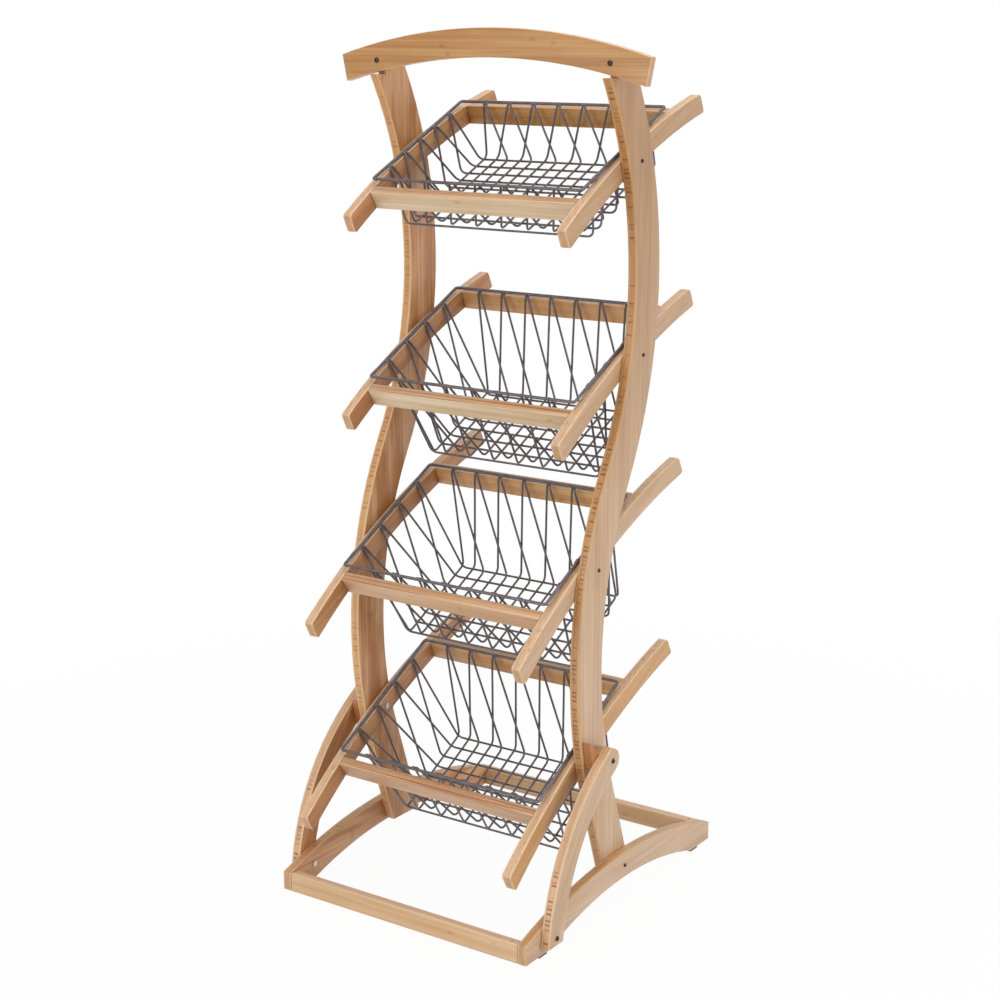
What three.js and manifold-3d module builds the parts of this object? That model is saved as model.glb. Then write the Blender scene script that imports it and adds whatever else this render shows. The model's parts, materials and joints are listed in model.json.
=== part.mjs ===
// Four-tier bread rack: curved board frame, tilting cradles and loose wire baskets.
// Millimetres, +X to the viewer's right, +Y to the back, +Z up, origin on the floor under the middle of the base.
import * as THREE from "three";
import { mergeVertices } from "three/addons/utils/BufferGeometryUtils.js";
import Module from "manifold-3d";

const wasm = await Module();
wasm.setup();

// Fits
const FIT_GAP = 0.3;
const PIVOT_CLEARANCE = 0.15;
const WIRE_CLEARANCE = 0.4;

// Base
const BOARD = 19;
const BASE_WIDTH = 560;
const BASE_DEPTH = 670;
const FOOT_HEIGHT = 4;
const FOOT_LENGTH = 25;
const FOOT_WIDTH = 16;
const FOOT_INSET = 45;
const RUNNER_END_HEIGHT = 36.5;
const RUNNER_CROWN = 92.5;
const RUNNER_FLAT = 72;
const RUNNER_ARCH = 43;

// Uprights: an S of two equal arcs, then a straight foot
const UPRIGHT_WIDTH = 80;
const BACK_BULGE_Y = 418;
const BACK_BULGE_Z = 1175;
const FRONT_BULGE_Y = 235;
const FRONT_BULGE_Z = 475;
const FOOT_BEND_Z = 242;
const UPRIGHT_BOTTOM_Z = 46;
const UPRIGHT_TOP_Z = 1566;

// Header: it sits in a notch at the top of each upright
const HEADER_THICKNESS = 16;
const HEADER_HALF_TOP = 332.5;
const HEADER_HALF_BOTTOM = 322.5;
const HEADER_RISE = 42;
const HEADER_HEIGHT = 52;
const HEADER_RADIUS = 1160;
const HEADER_SEAT_OFFSET = 5.4;
const HEADER_BOLT_DROP = 17;
const HEADER_BOLT_BITE = 28;
const SHOULDER_GAP = 2.3;

// Braces
const BRACE_WIDTH = 46;
const BRACE_RADIUS = 390;
const BRACE_BOLT_Y = 70;
const BRACE_BOLT_Z = 31;
const BRACE_BOTTOM_Z = 17;
const BRACE_CORNER = 12;
const SPACER_SETBACK = 4;
const SPACER_BEHIND = 18;
const SPACER_ABOVE = 44;
const SPACER_SHOULDER = 16;
const SPACER_SLOPE = 27;
const SPACER_BELOW = 12;
const RUNNER_BOLT_Y = 336;
const RUNNER_BOLT_Z = 67;

// Cradles
const ARM_HEIGHT = 37;
const ARM_RADIUS = 1450;
const ARM_CORNER = 6;
const RAIL_HEIGHT = 37;
const RAIL_CENTRE = 167.5;

// Baskets: the walls lean in by the insets from rim to floor, and wires hang in pairs from points of the rim
const RIM_WIRE = 6;
const WIRE = 4.2;
const RIM_HALF_WIDTH = 227;
const RIM_HALF_DEPTH = 155;
const RIM_CORNER = 5;
const HOOK = 7;
const FLOOR_BEND = 9;
const GRID = 28;
const BACK_PITCH = 56;
const BACK_POINTS = 7;
const PAIR_GAP = 4.6;
const SHALLOW = { depth: 105, insetX: 14, insetY: 18, sidePoints: 5, sidePitch: 52 };
const DEEP = { depth: 210, insetX: 28, insetY: 46, sidePoints: 4, sidePitch: 66 };

// Tiers from the top: pivot height, slope in degrees, and reaches along the slope
const TIERS = [
  { pivotZ: 1380, tilt: 25.0, basketOffset: 6, armFront: 248, armBack: 260, basket: SHALLOW },
  { pivotZ: 1033, tilt: 26.2, basketOffset: -32, armFront: 247, armBack: 258, basket: DEEP },
  { pivotZ: 662, tilt: 27.5, basketOffset: 28, armFront: 288, armBack: 324, basket: DEEP },
  { pivotZ: 308, tilt: 28.7, basketOffset: 11, armFront: 302, armBack: 318, basket: DEEP },
];

// Fasteners
const BOLT_RADIUS = 2.5;
const HEAD_RADIUS = 5.2;
const SMALL_HEAD_RADIUS = 3.7;
const HEAD_HEIGHT = 2.8;
const NUT_FLATS = 11;
const NUT_HEIGHT = 2.2;
const ROUND_SIDES = 16;
const CUT_MARGIN = 5;

const halfBase = BASE_WIDTH / 2;
const runnerInner = halfBase - BOARD;
const uprightOuter = runnerInner - FIT_GAP;
const uprightInner = uprightOuter - BOARD;
const armOuter = uprightInner - FIT_GAP;
const armInner = armOuter - BOARD;
const braceInner = halfBase + FIT_GAP;
const braceOuter = braceInner + BOARD;
const uprightMiddle = (uprightInner + uprightOuter) / 2;

// Profiles below are drawn with y from the base's front edge and z from the boards' own underside.
const SHIFT = new THREE.Vector3(0, -BASE_DEPTH / 2, FOOT_HEIGHT);

const root = new THREE.Group();
root.name = "bread_rack";

const finishes = {
  board: { color: 0xc8a57e, roughness: 0.45, metalness: 0 },
  wire: { color: 0x4b4246, roughness: 0.45, metalness: 0.6 },
  bolt: { color: 0x1c1a19, roughness: 0.5, metalness: 0.6 },
  nut: { color: 0xb8bcc0, roughness: 0.3, metalness: 1 },
  foot: { color: 0x2a2624, roughness: 0.8, metalness: 0 },
};

function addMesh(name, geometry, finish) {
  const mesh = new THREE.Mesh(geometry, new THREE.MeshStandardMaterial(finishes[finish]));
  mesh.name = name;
  root.add(mesh);
}

function closed(geometry) {
  const bare = new THREE.BufferGeometry();
  const flat = geometry.index ? geometry.toNonIndexed() : geometry;
  bare.setAttribute("position", flat.getAttribute("position").clone());
  return mergeVertices(bare, 1e-4);
}

function toSolid(geometry) {
  const g = closed(geometry);
  return new wasm.Manifold(
    new wasm.Mesh({
      numProp: 3,
      vertProperties: new Float32Array(g.getAttribute("position").array),
      triVerts: new Uint32Array(g.index.array),
    }),
  );
}

function toGeometry(solid) {
  const mesh = solid.getMesh();
  const g = new THREE.BufferGeometry();
  g.setAttribute("position", new THREE.BufferAttribute(new Float32Array(mesh.vertProperties), 3));
  g.setIndex(new THREE.BufferAttribute(new Uint32Array(mesh.triVerts), 1));
  return g;
}

function outline(points) {
  return new THREE.Shape(points.map(([a, b]) => new THREE.Vector2(a, b)));
}

// Holes are [a, b, radius] in the outline's own plane and run right through.
function extrude(points, holes, depth) {
  const body = closed(new THREE.ExtrudeGeometry(outline(points), { depth, bevelEnabled: false, steps: 1 }));
  if (holes.length === 0) return body;
  let solid = toSolid(body);
  holes.forEach(([a, b, radius]) => {
    const drill = turned([
      [-CUT_MARGIN, 0],
      [-CUT_MARGIN, radius],
      [depth + CUT_MARGIN, radius],
      [depth + CUT_MARGIN, 0],
    ]);
    drill.rotateY(-Math.PI / 2);
    drill.translate(a, b, 0);
    solid = solid.subtract(toSolid(drill));
  });
  return toGeometry(solid);
}

// A board whose outline lies in the side view (y, z), between two x values.
function sideBoard(points, holes, x0, x1) {
  const g = extrude(points, holes, x1 - x0);
  const basis = new THREE.Matrix4().makeBasis(
    new THREE.Vector3(0, 1, 0),
    new THREE.Vector3(0, 0, 1),
    new THREE.Vector3(1, 0, 0),
  );
  g.applyMatrix4(basis);
  g.translate(x0, 0, 0);
  return g.translate(SHIFT.x, SHIFT.y, SHIFT.z);
}

// A board whose outline lies in the front view (x, z), between two y values.
function frontBoard(points, holes, y0, y1) {
  const g = extrude(points, holes, y1 - y0);
  const basis = new THREE.Matrix4().makeBasis(
    new THREE.Vector3(1, 0, 0),
    new THREE.Vector3(0, 0, 1),
    new THREE.Vector3(0, -1, 0),
  );
  g.applyMatrix4(basis);
  g.translate(0, y1, 0);
  return g.translate(SHIFT.x, SHIFT.y, SHIFT.z);
}

function block(x0, x1, y0, y1, z0, z1) {
  const g = new THREE.BoxGeometry(x1 - x0, y1 - y0, z1 - z0);
  g.translate((x0 + x1) / 2, (y0 + y1) / 2, (z0 + z1) / 2);
  return closed(g).translate(SHIFT.x, SHIFT.y, SHIFT.z);
}

function span(side, near, far) {
  return side > 0 ? [near, far] : [-far, -near];
}

const SIDES = [
  ["left", -1],
  ["right", 1],
];

// Solid of revolution about +X from a list of [x, radius], both end points on the axis.
function turned(profile) {
  const positions = [];
  const index = [];
  const ring = profile.slice(1, -1);
  positions.push(profile[0][0], 0, 0);
  ring.forEach(([x, r]) => {
    for (let i = 0; i < ROUND_SIDES; i += 1) {
      const angle = (2 * Math.PI * (i + 0.5)) / ROUND_SIDES;
      positions.push(x, r * Math.cos(angle), r * Math.sin(angle));
    }
  });
  const last = positions.length / 3;
  positions.push(profile[profile.length - 1][0], 0, 0);
  const at = (k, i) => 1 + k * ROUND_SIDES + (i % ROUND_SIDES);
  for (let i = 0; i < ROUND_SIDES; i += 1) {
    index.push(0, at(0, i + 1), at(0, i));
    for (let k = 0; k < ring.length - 1; k += 1) {
      index.push(at(k, i), at(k, i + 1), at(k + 1, i + 1));
      index.push(at(k, i), at(k + 1, i + 1), at(k + 1, i));
    }
    index.push(last, at(ring.length - 1, i), at(ring.length - 1, i + 1));
  }
  const g = new THREE.BufferGeometry();
  g.setAttribute("position", new THREE.Float32BufferAttribute(positions, 3));
  g.setIndex(index);
  return g;
}

// A button-head bolt along +X: the head lies at x < 0, the shank runs from 0 to its length.
function bolt(length, headRadius) {
  return turned([
    [-HEAD_HEIGHT, 0],
    [-HEAD_HEIGHT, headRadius * 0.62],
    [-HEAD_HEIGHT * 0.45, headRadius],
    [-FIT_GAP, headRadius],
    [-FIT_GAP, BOLT_RADIUS],
    [length, BOLT_RADIUS],
    [length, 0],
  ]);
}

// Places a bolt whose head seats on the plane x = seat of one side and whose shank points inwards.
function sideBolt(side, seat, y, z, length, headRadius) {
  const g = bolt(length, headRadius);
  g.applyMatrix4(new THREE.Matrix4().makeRotationZ(side > 0 ? Math.PI : 0));
  g.translate(side * seat, y, z);
  return g.translate(SHIFT.x, SHIFT.y, SHIFT.z);
}

function sideNut(side, face, y, z) {
  const flats = [];
  for (let i = 0; i < 6; i += 1) {
    const angle = (Math.PI * i) / 3;
    const r = NUT_FLATS / Math.sqrt(3);
    flats.push([y + r * Math.cos(angle), z + r * Math.sin(angle)]);
  }
  const [x0, x1] = span(side, face - FIT_GAP - NUT_HEIGHT, face - FIT_GAP);
  return sideBoard(flats, [[y, z, BOLT_RADIUS + PIVOT_CLEARANCE]], x0, x1);
}

// Upright centre line
const bulgeRun = BACK_BULGE_Y - FRONT_BULGE_Y;
const bulgeRise = BACK_BULGE_Z - FRONT_BULGE_Z;
const uprightRadius = (bulgeRun ** 2 + bulgeRise ** 2) / (4 * bulgeRun);
const upperCentre = [BACK_BULGE_Y - uprightRadius, BACK_BULGE_Z];
const lowerCentre = [FRONT_BULGE_Y + uprightRadius, FRONT_BULGE_Z];
const meetAngle = Math.asin(bulgeRise / 2 / uprightRadius);
const footAngle = Math.asin((FOOT_BEND_Z - FRONT_BULGE_Z) / uprightRadius);

function centreY(z) {
  const meetZ = (BACK_BULGE_Z + FRONT_BULGE_Z) / 2;
  if (z >= meetZ) return upperCentre[0] + Math.sqrt(uprightRadius ** 2 - (z - BACK_BULGE_Z) ** 2);
  if (z >= FOOT_BEND_Z) return lowerCentre[0] - Math.sqrt(uprightRadius ** 2 - (z - FRONT_BULGE_Z) ** 2);
  return centreY(FOOT_BEND_Z) + (FOOT_BEND_Z - z) * Math.tan(-footAngle);
}

// One edge of the upright, offset from the centre line towards the back (+) or front (-), bottom to top.
function uprightEdge(offset) {
  const points = [];
  const bend = [
    lowerCentre[0] - (uprightRadius - offset) * Math.cos(footAngle),
    lowerCentre[1] + (uprightRadius - offset) * Math.sin(footAngle),
  ];
  const drop = bend[1] - UPRIGHT_BOTTOM_Z;
  points.push([bend[0] + drop * Math.tan(-footAngle), UPRIGHT_BOTTOM_Z]);
  const lowerSteps = 20;
  for (let i = 0; i <= lowerSteps; i += 1) {
    const angle = footAngle + ((meetAngle - footAngle) * i) / lowerSteps;
    const r = uprightRadius - offset;
    points.push([lowerCentre[0] - r * Math.cos(angle), lowerCentre[1] + r * Math.sin(angle)]);
  }
  const r = uprightRadius + offset;
  const topAngle = Math.asin((UPRIGHT_TOP_Z - upperCentre[1]) / r);
  const upperSteps = 22;
  for (let i = 1; i <= upperSteps; i += 1) {
    const angle = -meetAngle + ((topAngle + meetAngle) * i) / upperSteps;
    points.push([upperCentre[0] + r * Math.cos(angle), upperCentre[1] + r * Math.sin(angle)]);
  }
  return points;
}

const pivots = TIERS.map((tier) => [centreY(tier.pivotZ), tier.pivotZ]);
const headerBoltZ = UPRIGHT_TOP_Z - HEADER_BOLT_DROP;
const headerBackY = centreY(headerBoltZ) - HEADER_SEAT_OFFSET;
const headerFrontY = headerBackY - HEADER_THICKNESS;
const headerCrownZ = UPRIGHT_TOP_Z + HEADER_RISE;
const shoulderZ = headerCrownZ - HEADER_HEIGHT - arch(HEADER_RADIUS, uprightOuter) - SHOULDER_GAP;

function buildUprights() {
  const front = uprightEdge(-UPRIGHT_WIDTH / 2);
  const back = uprightEdge(UPRIGHT_WIDTH / 2);
  const points = [...front.slice().reverse(), ...back].reverse();
  const holes = pivots.map(([y, z]) => [y, z, BOLT_RADIUS + PIVOT_CLEARANCE]);
  holes.push([RUNNER_BOLT_Y, RUNNER_BOLT_Z, BOLT_RADIUS + PIVOT_CLEARANCE]);
  SIDES.forEach(([label, side]) => {
    const [x0, x1] = span(side, uprightInner, uprightOuter);
    const notch = block(
      x0 - CUT_MARGIN,
      x1 + CUT_MARGIN,
      headerFrontY - 2 * UPRIGHT_WIDTH,
      headerBackY + FIT_GAP,
      shoulderZ,
      UPRIGHT_TOP_Z + CUT_MARGIN,
    );
    const drill = headerBolt(side, PIVOT_CLEARANCE);
    const solid = toSolid(sideBoard(points, holes, x0, x1)).subtract(toSolid(notch)).subtract(toSolid(drill));
    addMesh("upright_" + label, toGeometry(solid), "board");
  });
}

// A header bolt, or with growth above zero the slightly larger hole it sits in.
function headerBolt(side, growth) {
  const length = HEADER_THICKNESS + HEADER_BOLT_BITE + growth;
  const g = bolt(length, HEAD_RADIUS);
  if (growth > 0) g.scale(1, (BOLT_RADIUS + growth) / BOLT_RADIUS, (BOLT_RADIUS + growth) / BOLT_RADIUS);
  g.applyMatrix4(new THREE.Matrix4().makeRotationZ(Math.PI / 2));
  g.translate(side * uprightMiddle, headerFrontY, headerBoltZ);
  return g.translate(SHIFT.x, SHIFT.y, SHIFT.z);
}

function arch(radius, x) {
  return radius - Math.sqrt(radius ** 2 - x ** 2);
}

function buildHeader() {
  const points = [];
  const steps = 22;
  for (let i = 0; i <= steps; i += 1) {
    const x = HEADER_HALF_BOTTOM * ((2 * i) / steps - 1);
    points.push([x, headerCrownZ - HEADER_HEIGHT - arch(HEADER_RADIUS, x)]);
  }
  for (let i = 0; i <= steps; i += 1) {
    const x = HEADER_HALF_TOP * (1 - (2 * i) / steps);
    points.push([x, headerCrownZ - arch(HEADER_RADIUS, x)]);
  }
  const holes = SIDES.map(([, side]) => [side * uprightMiddle, headerBoltZ, BOLT_RADIUS + PIVOT_CLEARANCE]);
  addMesh("header_board", frontBoard(points, holes, headerFrontY, headerBackY), "board");
  SIDES.forEach(([label, side]) => addMesh("header_bolt_" + label, headerBolt(side, 0), "bolt"));
}

function buildBase() {
  const middle = BASE_DEPTH / 2;
  const rise = RUNNER_CROWN - RUNNER_END_HEIGHT;
  const topRadius = (middle ** 2 + rise ** 2) / (2 * rise);
  const archHalf = middle - RUNNER_FLAT;
  const archRadius = (archHalf ** 2 + RUNNER_ARCH ** 2) / (2 * RUNNER_ARCH);
  const points = [[0, 0]];
  const steps = 18;
  for (let i = 0; i <= steps; i += 1) {
    const y = archHalf * ((2 * i) / steps - 1);
    points.push([middle + y, RUNNER_ARCH - arch(archRadius, y)]);
  }
  points.push([BASE_DEPTH, 0]);
  for (let i = 0; i <= steps; i += 1) {
    const y = middle * (1 - (2 * i) / steps);
    points.push([middle + y, RUNNER_CROWN - arch(topRadius, y)]);
  }
  const holeRadius = BOLT_RADIUS + PIVOT_CLEARANCE;
  const holes = [
    [BRACE_BOLT_Y, BRACE_BOLT_Z, holeRadius],
    [RUNNER_BOLT_Y, RUNNER_BOLT_Z, holeRadius],
  ];
  SIDES.forEach(([label, side]) => {
    const [x0, x1] = span(side, runnerInner, halfBase);
    addMesh("runner_" + label, sideBoard(points, holes, x0, x1), "board");
    const padMiddle = (runnerInner + halfBase) / 2;
    const [p0, p1] = span(side, padMiddle - FOOT_WIDTH / 2, padMiddle + FOOT_WIDTH / 2);
    const ends = [
      ["front", FOOT_INSET],
      ["back", BASE_DEPTH - FOOT_INSET - FOOT_LENGTH],
    ];
    ends.forEach(([end, y]) => {
      const pad = block(p0, p1, y, y + FOOT_LENGTH, -FOOT_HEIGHT, -FIT_GAP);
      addMesh("foot_" + end + "_" + label, pad, "foot");
    });
    const gripLength = 2 * BOARD;
    const runnerBolt = sideBolt(side, halfBase, RUNNER_BOLT_Y, RUNNER_BOLT_Z, gripLength, SMALL_HEAD_RADIUS);
    addMesh("runner_bolt_" + label, runnerBolt, "bolt");
  });
  const railEnd = runnerInner - FIT_GAP;
  addMesh("base_front_rail", block(-railEnd, railEnd, 0, BOARD, 0, RUNNER_END_HEIGHT), "board");
  addMesh("base_back_rail", block(-railEnd, railEnd, BASE_DEPTH - BOARD, BASE_DEPTH, 0, RUNNER_END_HEIGHT), "board");
}

function buildBraces() {
  const [topY, topZ] = pivots[3];
  const chord = Math.hypot(topY - BRACE_BOLT_Y, topZ - BRACE_BOLT_Z);
  const back = Math.sqrt(BRACE_RADIUS ** 2 - (chord / 2) ** 2);
  const normal = [(topZ - BRACE_BOLT_Z) / chord, -(topY - BRACE_BOLT_Y) / chord];
  const centre = [(topY + BRACE_BOLT_Y) / 2 + normal[0] * back, (topZ + BRACE_BOLT_Z) / 2 + normal[1] * back];
  const topAngle = Math.atan2(topZ - centre[1], topY - centre[0]);
  const steps = 12;
  const edge = (radius) => {
    const start = Math.PI - Math.asin((BRACE_BOTTOM_Z - centre[1]) / radius);
    return Array.from({ length: steps + 1 }, (_, i) => {
      const angle = start + ((topAngle - start) * i) / steps;
      return [centre[0] + radius * Math.cos(angle), centre[1] + radius * Math.sin(angle)];
    });
  };
  const outer = edge(BRACE_RADIUS + BRACE_WIDTH / 2);
  const inner = edge(BRACE_RADIUS - BRACE_WIDTH / 2);
  const half = BRACE_WIDTH / 2;
  const cap = [
    [
      topY + half * Math.cos(topAngle) + BRACE_CORNER * Math.sin(topAngle),
      topZ + half * Math.sin(topAngle) - BRACE_CORNER * Math.cos(topAngle),
    ],
  ];
  const roundStart = 2 * Math.atan(BRACE_CORNER / half);
  const capSteps = 8;
  for (let i = 0; i < capSteps; i += 1) {
    const angle = topAngle - roundStart - ((Math.PI - roundStart) * i) / capSteps;
    cap.push([topY + half * Math.cos(angle), topZ + half * Math.sin(angle)]);
  }
  const points = [...inner, ...cap.reverse(), ...outer.reverse()];
  const holeRadius = BOLT_RADIUS + PIVOT_CLEARANCE;
  const holes = [
    [BRACE_BOLT_Y, BRACE_BOLT_Z, holeRadius],
    [topY, topZ, holeRadius],
  ];
  SIDES.forEach(([label, side]) => {
    const [x0, x1] = span(side, braceInner, braceOuter);
    addMesh("brace_" + label, sideBoard(points, holes, x0, x1), "board");
    const gripLength = braceOuter - runnerInner + FIT_GAP + NUT_HEIGHT;
    const braceBolt = sideBolt(side, braceOuter, BRACE_BOLT_Y, BRACE_BOLT_Z, gripLength, HEAD_RADIUS);
    addMesh("brace_bolt_" + label, braceBolt, "bolt");
    addMesh("brace_nut_" + label, sideNut(side, runnerInner, BRACE_BOLT_Y, BRACE_BOLT_Z), "nut");
    const [s0, s1] = span(side, uprightOuter + FIT_GAP, braceInner - FIT_GAP);
    // The tapered nose of the spacer points up on the right and down on the left.
    const low = topZ - side * SPACER_BELOW;
    const high = topZ + side * SPACER_ABOVE;
    const shoulder = topZ + side * SPACER_SHOULDER;
    const front = (z) => centreY(z) - UPRIGHT_WIDTH / 2 + SPACER_SETBACK;
    const spacerOutline = [
      [front(low), low],
      [topY + SPACER_BEHIND, low],
      [topY + SPACER_BEHIND, shoulder],
      [front(high) + SPACER_SLOPE, shoulder],
      [front(high), high],
    ];
    addMesh("brace_spacer_" + label, sideBoard(spacerOutline, [[topY, topZ, holeRadius]], s0, s1), "board");
  });
}

// The plane of one tier: origin on the arms' centre line under the basket's middle, u along the slope, n out of it.
function tierPlane(tier, pivot) {
  const angle = THREE.MathUtils.degToRad(tier.tilt);
  const along = [Math.cos(angle), Math.sin(angle)];
  const out = [-Math.sin(angle), Math.cos(angle)];
  const sag = arch(ARM_RADIUS, tier.basketOffset);
  const origin = [
    pivot[0] + tier.basketOffset * along[0] + sag * out[0],
    pivot[1] + tier.basketOffset * along[1] + sag * out[1],
  ];
  const place = (u, n) => [origin[0] + u * along[0] + n * out[0], origin[1] + u * along[1] + n * out[1]];
  const matrix = new THREE.Matrix4().makeBasis(
    new THREE.Vector3(1, 0, 0),
    new THREE.Vector3(0, along[0], along[1]),
    new THREE.Vector3(0, out[0], out[1]),
  );
  matrix.setPosition(SHIFT.x, origin[0] + SHIFT.y, origin[1] + SHIFT.z);
  return { place, matrix };
}

// One arm along the slope: an arched strip with rounded corners, as [u, n].
function armOutline(tier) {
  const steps = 14;
  const cornerSteps = 3;
  const front = -tier.armFront + ARM_CORNER;
  const length = tier.armFront + tier.armBack - 2 * ARM_CORNER;
  const level = ARM_HEIGHT / 2 - ARM_CORNER;
  const strip = [];
  const corner = (u, n, start) => {
    for (let i = 0; i <= cornerSteps; i += 1) {
      const angle = THREE.MathUtils.degToRad(start + (90 * i) / cornerSteps);
      strip.push([u + ARM_CORNER * Math.cos(angle), n + ARM_CORNER * Math.sin(angle)]);
    }
  };
  corner(front, -level, 180);
  for (let i = 1; i < steps; i += 1) strip.push([front + (length * i) / steps, -ARM_HEIGHT / 2]);
  corner(front + length, -level, 270);
  corner(front + length, level, 0);
  for (let i = steps - 1; i > 0; i -= 1) strip.push([front + (length * i) / steps, ARM_HEIGHT / 2]);
  corner(front, level, 90);
  return strip.map(([u, n]) => [u, n - arch(ARM_RADIUS, u)]);
}

function buildCradle(number, tier, pivot) {
  const { place, matrix } = tierPlane(tier, pivot);
  const points = armOutline(tier).map(([u, n]) => place(u, n));
  const name = "cradle" + number;
  const isBraced = number === TIERS.length;
  SIDES.forEach(([label, side]) => {
    const [x0, x1] = span(side, armInner, armOuter);
    const hole = [pivot[0], pivot[1], BOLT_RADIUS + PIVOT_CLEARANCE];
    addMesh(name + "_arm_" + label, sideBoard(points, [hole], x0, x1), "board");
    const seat = isBraced ? braceOuter : uprightOuter;
    const gripLength = seat - armInner + FIT_GAP + NUT_HEIGHT;
    const headRadius = isBraced ? HEAD_RADIUS : SMALL_HEAD_RADIUS;
    const pivotBolt = sideBolt(side, seat, pivot[0], pivot[1], gripLength, headRadius);
    addMesh("pivot" + number + "_bolt_" + label, pivotBolt, "bolt");
    addMesh("pivot" + number + "_nut_" + label, sideNut(side, armInner, pivot[0], pivot[1]), "nut");
  });
  const lean = Math.asin(RAIL_CENTRE / ARM_RADIUS);
  const ends = [
    ["front", -1],
    ["back", 1],
  ];
  ends.forEach(([end, sign]) => {
    const rail = new THREE.BoxGeometry(2 * (armInner - FIT_GAP), BOARD, RAIL_HEIGHT);
    rail.rotateX(-sign * lean);
    rail.translate(0, sign * RAIL_CENTRE, -arch(ARM_RADIUS, RAIL_CENTRE));
    rail.applyMatrix4(matrix);
    addMesh(name + "_" + end + "_rail", closed(rail), "board");
  });
}

// A wire swept along a polyline with mitred bends, its section a regular polygon.
function sweep(path, diameter, sides, loop) {
  const pts = path.map((p) => new THREE.Vector3(...p));
  const count = pts.length;
  const dir = (i) => pts[(i + 1) % count].clone().sub(pts[i % count]).normalize();
  const rings = [];
  const first = dir(0);
  const spare = Math.abs(first.z) > 0.7 ? new THREE.Vector3(1, 0, 0) : new THREE.Vector3(0, 0, 1);
  let across = new THREE.Vector3().crossVectors(first, spare).normalize();
  let upward = new THREE.Vector3().crossVectors(across, first).normalize();
  let before = first;
  for (let i = 0; i < count; i += 1) {
    const incoming = i > 0 ? dir(i - 1) : loop ? dir(count - 1) : dir(0);
    const outgoing = i < count - 1 || loop ? dir(i) : dir(i - 1);
    if (i > 0) {
      const turn = new THREE.Quaternion().setFromUnitVectors(before, incoming);
      across.applyQuaternion(turn);
      upward.applyQuaternion(turn);
    }
    before = incoming;
    const half = incoming.clone().add(outgoing).normalize();
    const ring = [];
    for (let k = 0; k < sides; k += 1) {
      const angle = (2 * Math.PI * (k + 0.5)) / sides;
      const offset = across.clone().multiplyScalar((diameter / 2) * Math.cos(angle));
      offset.addScaledVector(upward, (diameter / 2) * Math.sin(angle));
      const slide = -offset.dot(half) / incoming.dot(half);
      offset.addScaledVector(incoming, slide);
      ring.push(pts[i].clone().add(offset));
    }
    rings.push(ring);
  }
  const positions = rings.flat().flatMap((p) => [p.x, p.y, p.z]);
  const index = [];
  const at = (i, k) => (i % count) * sides + (k % sides);
  const spans = loop ? count : count - 1;
  for (let i = 0; i < spans; i += 1) {
    for (let k = 0; k < sides; k += 1) {
      index.push(at(i, k), at(i + 1, k + 1), at(i, k + 1));
      index.push(at(i, k), at(i + 1, k), at(i + 1, k + 1));
    }
  }
  if (!loop) {
    for (let k = 1; k < sides - 1; k += 1) {
      index.push(at(0, 0), at(0, k), at(0, k + 1));
      index.push(at(count - 1, 0), at(count - 1, k + 1), at(count - 1, k));
    }
  }
  const g = new THREE.BufferGeometry();
  g.setAttribute("position", new THREE.Float32BufferAttribute(positions, 3));
  g.setIndex(index);
  let solid = toSolid(g);
  if (solid.volume() < 0) {
    for (let i = 0; i < index.length; i += 3) [index[i + 1], index[i + 2]] = [index[i + 2], index[i + 1]];
    g.setIndex(index);
    solid = toSolid(g);
  }
  return solid;
}

function rimPath() {
  const points = [];
  const corners = [
    [1, 1, 0],
    [-1, 1, 90],
    [-1, -1, 180],
    [1, -1, 270],
  ];
  corners.forEach(([sx, sy, start]) => {
    [0, 45, 90].forEach((step) => {
      const angle = THREE.MathUtils.degToRad(start + step);
      const x = sx * (RIM_HALF_WIDTH - RIM_CORNER) + RIM_CORNER * Math.cos(angle);
      const y = sy * (RIM_HALF_DEPTH - RIM_CORNER) + RIM_CORNER * Math.sin(angle);
      points.push([x, y, 0]);
    });
  });
  return points;
}

// Half of a U wire seen across its wall: rim, hook, wall foot and floor, as [distance out, height, share of splay].
function wallProfile(rimReach, inset, floor) {
  const wallTop = rimReach - HOOK;
  const wallFoot = wallTop - inset;
  const slope = inset / floor;
  return [
    [rimReach, 0, 0],
    [wallTop, -WIRE / 5, 0],
    [wallFoot + slope * FLOOR_BEND, -floor + FLOOR_BEND, 1],
    [wallFoot - FLOOR_BEND, -floor, 1],
  ];
}

function uWire(profile, rimAt, floorAt, across) {
  const half = profile.map(([reach, z, share]) => [reach, z, rimAt + (floorAt - rimAt) * share]);
  const path = [
    ...half.map(([reach, z, at]) => [-reach, at, z]),
    ...half
      .slice()
      .reverse()
      .map(([reach, z, at]) => [reach, at, z]),
  ];
  return across ? path : path.map(([a, b, z]) => [b, a, z]);
}

// The pair of U wires of each rim point leans apart and crosses its neighbours', to an even grid on the floor.
function wirePairs(count, pitch) {
  const last = 2 * count - 1;
  const pairs = [];
  for (let i = 0; i < count; i += 1) {
    const rimAt = pitch * (i - (count - 1) / 2);
    [-1, 1].forEach((lean) => {
      const line = lean < 0 ? Math.max(0, 2 * i - 1) : Math.min(last, 2 * i + 2);
      pairs.push({ rimAt: rimAt + (lean * PAIR_GAP) / 2, floorAt: GRID * (line - last / 2), lean });
    });
  }
  return pairs;
}

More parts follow.
